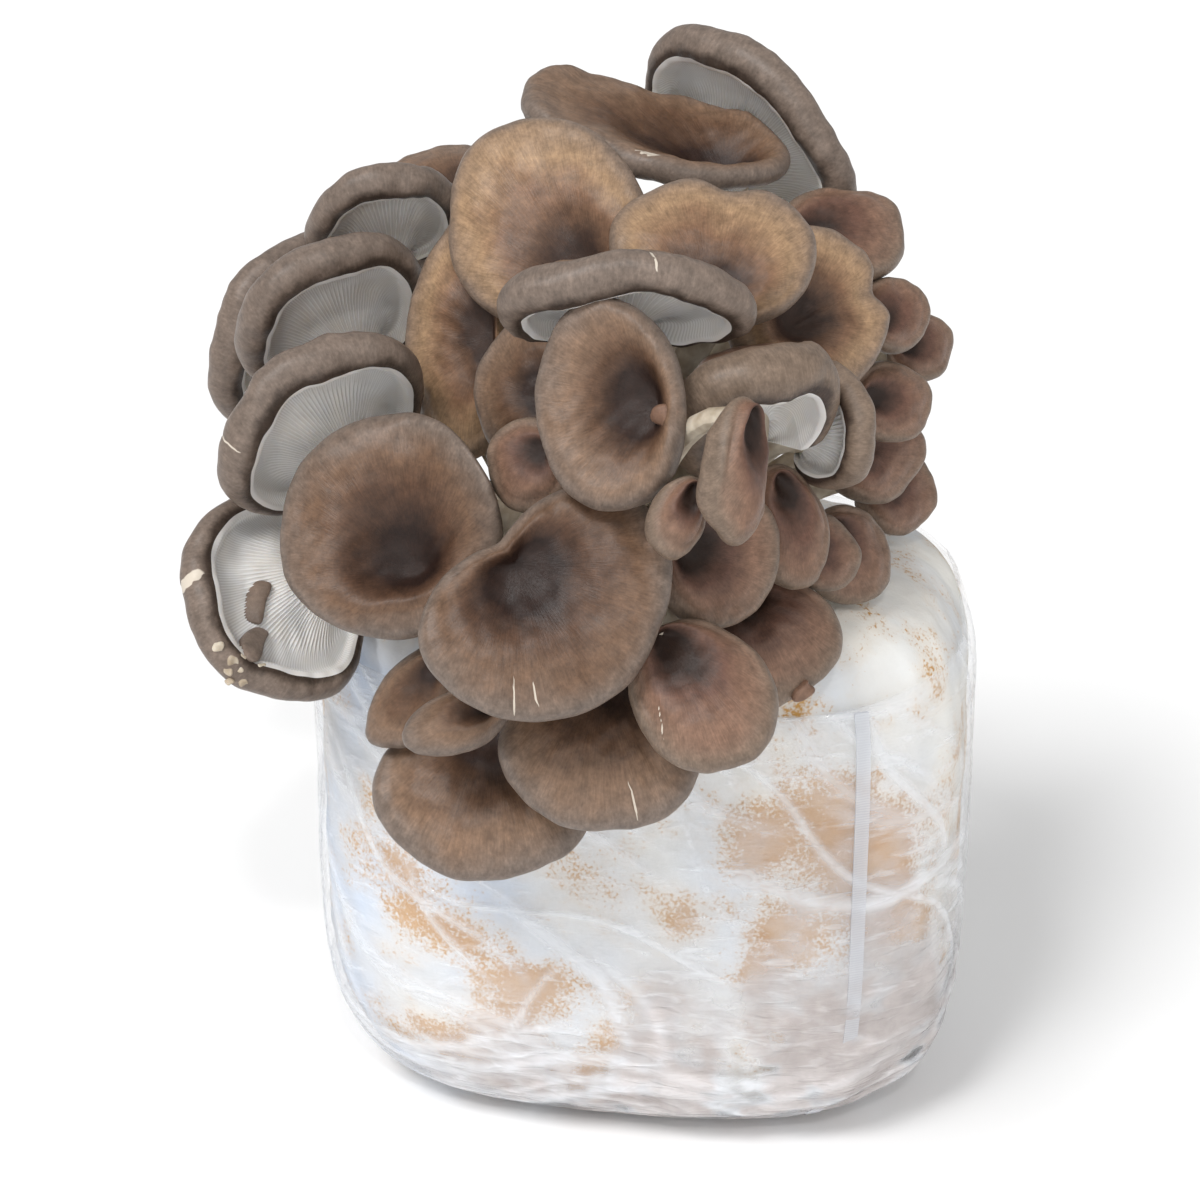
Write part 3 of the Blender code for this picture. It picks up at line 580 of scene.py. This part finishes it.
def cap_skin(name, hub_colour, mid_colour, outer_colour, margin_colour, lip_shade_colour):
    """Skin of one hue: colours by the way out from the hub, streaked by fibrils that run out to the margin, with
    painted shade where the margin rolls under.
    """
    made, tree, shader = new_material(name, Specular_IOR_Level=0.3)
    way = add_node(tree, "ShaderNodeAttribute", attribute_name="way")
    grain = add_node(tree, "ShaderNodeAttribute", attribute_name="grain")
    torn = add_node(tree, "ShaderNodeAttribute", attribute_name="torn")
    where = add_node(tree, "ShaderNodeTexCoord")
    blotch = add_node(tree, "ShaderNodeTexNoise", {"Vector": where.outputs["Object"], "Scale": 55.0,
                                                   "Detail": 5.0, "Roughness": 0.6})
    fibril = add_node(tree, "ShaderNodeTexNoise", {"Vector": grain.outputs["Vector"], "Scale": 36.0,
                                                   "Detail": 4.0, "Roughness": 0.7})
    mottle = add_node(tree, "ShaderNodeTexNoise", {"Vector": where.outputs["Object"], "Scale": 230.0,
                                                   "Detail": 5.0, "Roughness": 0.65})
    specks = add_node(tree, "ShaderNodeTexNoise", {"Vector": where.outputs["Object"], "Scale": 900.0,
                                                   "Detail": 2.0})
    shift = add_node(tree, "ShaderNodeMath", {0: blotch.outputs["Fac"], 1: 0.55, 2: -0.275},
                     operation="MULTIPLY_ADD")
    level = add_node(tree, "ShaderNodeMath", {0: way.outputs["Fac"], 1: shift.outputs[0]}, operation="ADD")
    level = add_node(tree, "ShaderNodeMath", {0: level.outputs[0], 1: 2.0}, operation="DIVIDE")
    ramp = add_node(tree, "ShaderNodeValToRGB", {"Fac": level.outputs[0]})
    # painted shade: the last stops darken the skin where it rolls under the margin
    stops = ((0.0, hub_colour), (0.16, hub_colour), (0.3, mid_colour), (0.44, outer_colour),
             (0.62, margin_colour), (0.86, margin_colour), (0.93, lip_shade_colour), (1.0, lip_shade_colour))
    ramp.color_ramp.elements[1].position = 1.0
    for position, colour in stops[1:-1]:
        ramp.color_ramp.elements.new(position)
    for element, (position, colour) in zip(ramp.color_ramp.elements, stops):
        element.position = position
        element.color = linear(colour)
    streak = add_node(tree, "ShaderNodeMapRange", {"Value": fibril.outputs["Fac"], "From Min": 0.3,
                                                   "From Max": 0.7, "To Min": 0.8, "To Max": 1.2})
    dust = add_node(tree, "ShaderNodeMapRange", {"Value": specks.outputs["Fac"], "From Min": 0.3,
                                                 "From Max": 0.7, "To Min": 0.9, "To Max": 1.08})
    patch = add_node(tree, "ShaderNodeMapRange", {"Value": mottle.outputs["Fac"], "From Min": 0.3,
                                                  "From Max": 0.7, "To Min": 0.74, "To Max": 1.26})
    shade = add_node(tree, "ShaderNodeMath", {0: streak.outputs[0], 1: dust.outputs[0]}, operation="MULTIPLY")
    shade = add_node(tree, "ShaderNodeMath", {0: shade.outputs[0], 1: patch.outputs[0]}, operation="MULTIPLY")
    shaded = add_node(tree, "ShaderNodeVectorMath", {0: ramp.outputs["Color"], "Scale": shade.outputs[0]},
                      operation="SCALE")
    bare = add_node(tree, "ShaderNodeMapRange", {"Value": torn.outputs["Fac"], "From Min": 0.35, "From Max": 0.5})
    colour = add_node(tree, "ShaderNodeMix", {"Factor": bare.outputs[0], "A": shaded.outputs["Vector"],
                                              "B": linear("#CFC4B5")}, data_type="RGBA")
    tree.links.new(colour.outputs["Result"], shader.inputs["Base Color"])
    rough = add_node(tree, "ShaderNodeMapRange", {"Value": blotch.outputs["Fac"], "To Min": 0.3, "To Max": 0.52})
    tree.links.new(rough.outputs[0], shader.inputs["Roughness"])
    coarse = add_node(tree, "ShaderNodeBump", {"Height": fibril.outputs["Fac"], "Strength": 0.35,
                                               "Distance": 0.5 * MM})
    fine = add_node(tree, "ShaderNodeBump", {"Height": specks.outputs["Fac"], "Strength": 0.25,
                                             "Distance": 0.2 * MM, "Normal": coarse.outputs["Normal"]})
    tree.links.new(fine.outputs["Normal"], shader.inputs["Normal"])
    return made


# Cap skin, grown in four hues: satin, streaked by radial fibrils, dark at the hub and greyer at the margin, with
# painted shade where the margin rolls under (the fifth colour)
golden_skin = cap_skin("cap_skin_golden_satin", "#38261D", "#765843", "#9C7F62", "#7E6C5E", "#463A33")
grey_skin = cap_skin("cap_skin_grey_brown_satin", "#2E1F19", "#5F4635", "#7A614E", "#74665C", "#41362F")
umber_skin = cap_skin("cap_skin_umber_satin", "#281913", "#523A2B", "#6B5240", "#74665C", "#3B312B")
red_skin = cap_skin("cap_skin_red_brown_satin", "#2B1C15", "#62463A", "#7E6150", "#786759", "#3E312A")

# Gills: matt thin plates of pale flesh, with painted highlight on their edges and painted shade in the gaps
# between
gill_flesh, tree, shader = new_material("gill_flesh_grown_plates", Roughness=0.65, Specular_IOR_Level=0.25,
                                        Subsurface_Weight=0.2, Subsurface_Radius=(0.004, 0.003, 0.002),
                                        Subsurface_Scale=0.5)
comb = add_node(tree, "ShaderNodeAttribute", attribute_name="comb")
way = add_node(tree, "ShaderNodeAttribute", attribute_name="way")
where = add_node(tree, "ShaderNodeTexCoord")
blotch = add_node(tree, "ShaderNodeTexNoise", {"Vector": where.outputs["Object"], "Scale": 70.0, "Detail": 4.0})
# painted light: the ridges of the gills are coloured lighter and the gaps between them darker
lit_edge_shaded_gap = add_node(tree, "ShaderNodeMix", {"Factor": comb.outputs["Fac"], "A": linear("#DAD8D6"),
                                         "B": linear("#FAFAF9")}, data_type="RGBA")
warm = add_node(tree, "ShaderNodeMapRange", {"Value": blotch.outputs["Fac"], "From Min": 0.4, "From Max": 0.7,
                                             "To Max": 0.4})
tone = add_node(tree, "ShaderNodeMix", {"Factor": warm.outputs[0], "A": lit_edge_shaded_gap.outputs["Result"],
                                        "B": linear("#E6DDD0")}, data_type="RGBA")
tree.links.new(tone.outputs["Result"], shader.inputs["Base Color"])

grow("mushroom_crown_right", (70, 162, -46), 38, 46, 228, grey_skin, lean=48, tilt=122, cup=-0.1, rim=7,
     flesh=8)
grow("mushroom_crown_long", (27.5, 147.5, -16), 48, 34, 285, grey_skin, lean=15, tilt=60, cup=0.25, hub=0.6,
     rim=4.5, cracks=((85, 0.93, 6, 2.2, 20),))
grow("mushroom_top_ear", (-6.3, 118.6, 28), 39, 33, 325, golden_skin, lean=300, tilt=15, cup=0.1, nod=0.2)
grow("mushroom_top_heart", (46.8, 109.2, 58.5), 27, 33, 5, golden_skin, tilt=12, nod=0.3, hub=0.85,
     notches=((-7, 0.13, 16),))
grow("mushroom_back_dome", (-48, 142, -75), 34, 31, 320, grey_skin, lean=340, tilt=50)
grow("mushroom_upper_right", (93, 121.4, -3.5), 26, 19, 65, red_skin, lean=30, tilt=35)


# ---------------------------------------------------------------------------------------------------------------
# Hoods: mushrooms down the left side whose caps have tipped right back, so that their gills face the front.
# ---------------------------------------------------------------------------------------------------------------
grow("mushroom_hood_back", (-65, 133.5, -29), 26, 28, 160, grey_skin, lean=345, tilt=118, bend=0.1, flesh=8)
grow("mushroom_hood_far", (-106, 95, -57), 33, 38, 120, grey_skin, lean=300, tilt=122, bend=0.1, rim=7,
     flesh=9)
grow("mushroom_hood_middle", (-85, 98.5, -12), 33, 35, 145, grey_skin, lean=328, tilt=122, bend=0.1, rim=7,
     flesh=9)
grow("mushroom_hood_low", (-85, 60, 20), 34, 38, 140, grey_skin, lean=322, tilt=122, bend=0.1, rim=7,
     flesh=9, cracks=((-48, 1.35, 11, 0.5, 80),))
torn_cap = grow("mushroom_torn", (-102, -6, 0), 34, 37, 70, grey_skin, lean=245, tilt=138, bend=0.1, flesh=8,
                cracks=((30, 1.5, 7, 3, 60),))
# painted light: this cap wears the lighter golden skin to stand for the strong light falling on it
grow("mushroom_left_tall", (-38, 83.9, 10.5), 20, 42, 272, golden_skin, lean=270, tilt=20, hub=0.7, bend=0.1)


# ---------------------------------------------------------------------------------------------------------------
# Middle: the broad arch over the face of the cluster, and the ears and funnels that open under it.
# ---------------------------------------------------------------------------------------------------------------
grow("mushroom_brow_hood", (18.9, 98.6, 83.5), 22, 40, 180, grey_skin, tilt=110, bend=0.15, rim=7, flesh=8,
     cracks=((12, 1.25, 8, 0.4, 80),))
ear = grow("mushroom_centre_ear", (15.3, 55.8, 90.5), 24, 33, 265, grey_skin, lean=270, tilt=15, cup=0.5,
           hub=0.55)
grow("mushroom_centre_left", (-15.3, 65.3, 49), 20, 25, 290, grey_skin, lean=270, tilt=30, hub=0.7)
grow("mushroom_hook", (-12.5, 38.5, 65), 15, 16, 230, red_skin, lean=270, tilt=20, rim=4, hub=0.6)
grow("mushroom_left_funnel", (-54.8, 19, 41), 37, 38, 330, umber_skin, lean=300, tilt=10, cup=0.25,
     furl=-0.6, hub=0.45, rim=8)
grow("mushroom_front_big", (-4.3, -5.5, 86), 34, 41, 140, umber_skin, tilt=10, cup=0.15, hub=0.5,
     notches=((180, 0.5, 26), (118, -0.12, 25), (-118, -0.12, 25)),
     cracks=((-40, 0.97, 5, 0.4, 85), (-52, 0.97, 7, 0.4, 88)))
grow("mushroom_leaf", (35.7, 21.3, 108), 13, 9, 200, red_skin, lean=90, tilt=20, rim=4)
grow("mushroom_slab", (54.8, 35, 117.5), 22, 12, 180, red_skin, lean=90, tilt=50, rim=5)
grow("mushroom_right_round", (47.9, 9.7, 62.5), 22, 24, 100, red_skin, lean=90, tilt=15, cup=0.15, hub=0.6)


# ---------------------------------------------------------------------------------------------------------------
# Front: the caps that hang lowest, out over the rim of the bag.
# ---------------------------------------------------------------------------------------------------------------
grow("mushroom_front_low", (11.2, -47, 59), 28, 33, 180, grey_skin, tilt=20, nod=0.2, hub=0.85,
     cracks=((20, 0.97, 7, 0.4, 85),))
grow("mushroom_front_lowest", (-28, -65, 28), 28, 36, 190, grey_skin, tilt=25, nod=0.1, hub=0.85)
grow("mushroom_finger", (-50, -34.1, 33.5), 23, 12, 225, grey_skin, lean=270, tilt=20, rim=5)
curl_cap = grow("mushroom_small_curl", (-33.9, -40.6, 65), 18, 10, 250, grey_skin, tilt=20, rim=4)
grow("mushroom_folded", (42.9, -31.7, 80.5), 26, 22, 145, red_skin, tilt=20, hub=0.85,
     cracks=((-75, 0.9, 5, 0.4, 60),))
wide_cap = grow("mushroom_right_wide", (63, -16, 38), 21, 28, 155, red_skin, tilt=25, nod=0.2, hub=0.85)


# ---------------------------------------------------------------------------------------------------------------
# Right side: two visors that show their gills, and a bunch of small caps crowded beneath them.
# ---------------------------------------------------------------------------------------------------------------
grow("mushroom_visor", (50.9, 70.7, 61), 29, 29, 150, red_skin, lean=335, tilt=118, cup=-0.3, rim=9,
     flesh=8)
grow("mushroom_small_visor", (90.3, 52.3, 42.5), 20, 21, 260, red_skin, lean=80, tilt=125, cup=-0.1, rim=5,
     flesh=7)
grow("mushroom_stub", (96, 54, 26), 10, 6, 0, red_skin, lean=90, tilt=30, rim=3)
grow("mushroom_right_lobed", (80.4, 90.3, 24), 30, 29, 50, golden_skin, lean=60, tilt=20, cup=0.1, hub=0.35,
     notches=((-22, 0.14, 14),))
grow("mushroom_edge_top", (110.8, 93.3, -2), 16, 13, 60, red_skin, lean=60, tilt=30, rim=4)
grow("mushroom_edge_far", (122, 85, -31), 15, 13, 80, red_skin, lean=70, tilt=30, rim=4)
grow("mushroom_edge_middle", (110.1, 63.3, -0.5), 17, 14, 90, red_skin, lean=80, tilt=30, rim=4)
grow("mushroom_right_back", (107, 48, -16), 21, 19, 90, red_skin, lean=90, tilt=30, rim=5)
grow("mushroom_right_corner", (116, 33, -38), 17, 15, 110, red_skin, lean=100, tilt=30, rim=4)
grow("mushroom_right_leaf", (73, 20, 45), 21, 14, 160, red_skin, lean=80, tilt=25, rim=5)
grow("mushroom_right_small", (84.6, 11.9, 24.5), 15, 13, 110, red_skin, lean=90, tilt=20, rim=4)
grow("mushroom_right_low", (95, 12, 8), 18, 16, 130, red_skin, lean=90, tilt=25, rim=5)


# ---------------------------------------------------------------------------------------------------------------
# Torn strips, crumbs and buds: two strips of skin and some crumbs of flesh lie on the gills of the torn cap where
# its margin was broken, and a few pins that never opened sit as knobs in the folds of other caps.
# ---------------------------------------------------------------------------------------------------------------
NEAR = 4                        # how far round a spot the surface under it is felt for, mm


def surface_out(piece, across, up):
    """How far out the piece's surface stands round a spot across and up from the heart, in mm."""
    flat = np.empty(len(piece.data.vertices) * 3, np.float32)
    piece.data.vertices.foreach_get("co", flat)
    place = (flat.reshape(-1, 3) - HEART) / MM
    near = np.hypot(place @ ACROSS - across, place @ UP - up) < NEAR
    return np.percentile(place[near] @ OUT, 80)


def lump(name, piece, start, end, width, thick, material, way, seed, bury=0.4):
    """A rounded strip or knob: rings along the line from start to end, each an ellipse of width by thick that
    closes at both ends as a half circle does, roughened by waves. It lies on the piece, sunk by bury of thick."""
    random = np.random.default_rng(seed)
    turn, along = np.meshgrid(np.linspace(0, 2 * math.pi, 36, endpoint=False), np.linspace(0, math.pi, 30))
    begin, finish = (np.array([*spot, surface_out(piece, *spot) + thick * (0.5 - bury)])
                     for spot in (start, end))
    step = (1 - np.cos(along)) / 2
    line = unit(finish - begin)
    flat = unit(np.array([-line[1], line[0], 0.0]))
    rise = np.cross(line, flat)
    swell = np.sin(along) ** 0.5 * (1 + 0.1 * sines(turn, (2, 3), random) + 0.08 * np.sin(along * 3 + seed))
    weave = 0.12 * width * np.sin(along * 2 + seed)
    spine = begin + (finish - begin) * step[..., None] + flat * weave[..., None]
    shape = spine + (swell * width / 2 * np.cos(turn))[..., None] * flat
    shape = shape + (swell * thick / 2 * np.sin(turn))[..., None] * rise
    points = HEART + (shape[..., :1] * ACROSS + shape[..., 1:2] * UP + shape[..., 2:] * OUT) * MM
    grain = np.stack([np.cos(turn), np.sin(turn), step + seed], -1)
    made = closed_grid(name, points, [material], way=way + 0 * turn, grain=grain, torn=0 * turn)
    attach(made, "root")


lump("torn_strip_upper", torn_cap, (-101.5, 2.5), (-103.5, -11.5), 8, 4, grey_skin, 1.2, 1)
lump("torn_strip_lower", torn_cap, (-101.0, -13.5), (-104.5, -23.0), 7.5, 4, grey_skin, 1.2, 2)
crumbs = np.random.default_rng(5)
for number in range(9):
    spot = np.array([-106.5, -26.0]) + crumbs.normal(size=2) * (5, 4)
    size, angle = crumbs.uniform(1.6, 3.6), crumbs.uniform(0, math.pi)
    far_end = spot + np.array([math.cos(angle), math.sin(angle)]) * size
    lump(f"torn_crumb_{number + 1}", torn_cap, spot, far_end, size, size * 0.7, stem_flesh, 1, number)
lump("bud_in_ear", ear, (28.5, 54.0), (31.5, 49.5), 7, 7, red_skin, 0.9, 4)
lump("bud_on_curl", curl_cap, (-22.0, -37.5), (-16.5, -35.5), 8, 8, grey_skin, 0.9, 6)
lump("bud_below_wide", wide_cap, (75.0, -31.0), (77.5, -34.5), 7, 7, red_skin, 0.9, 8)
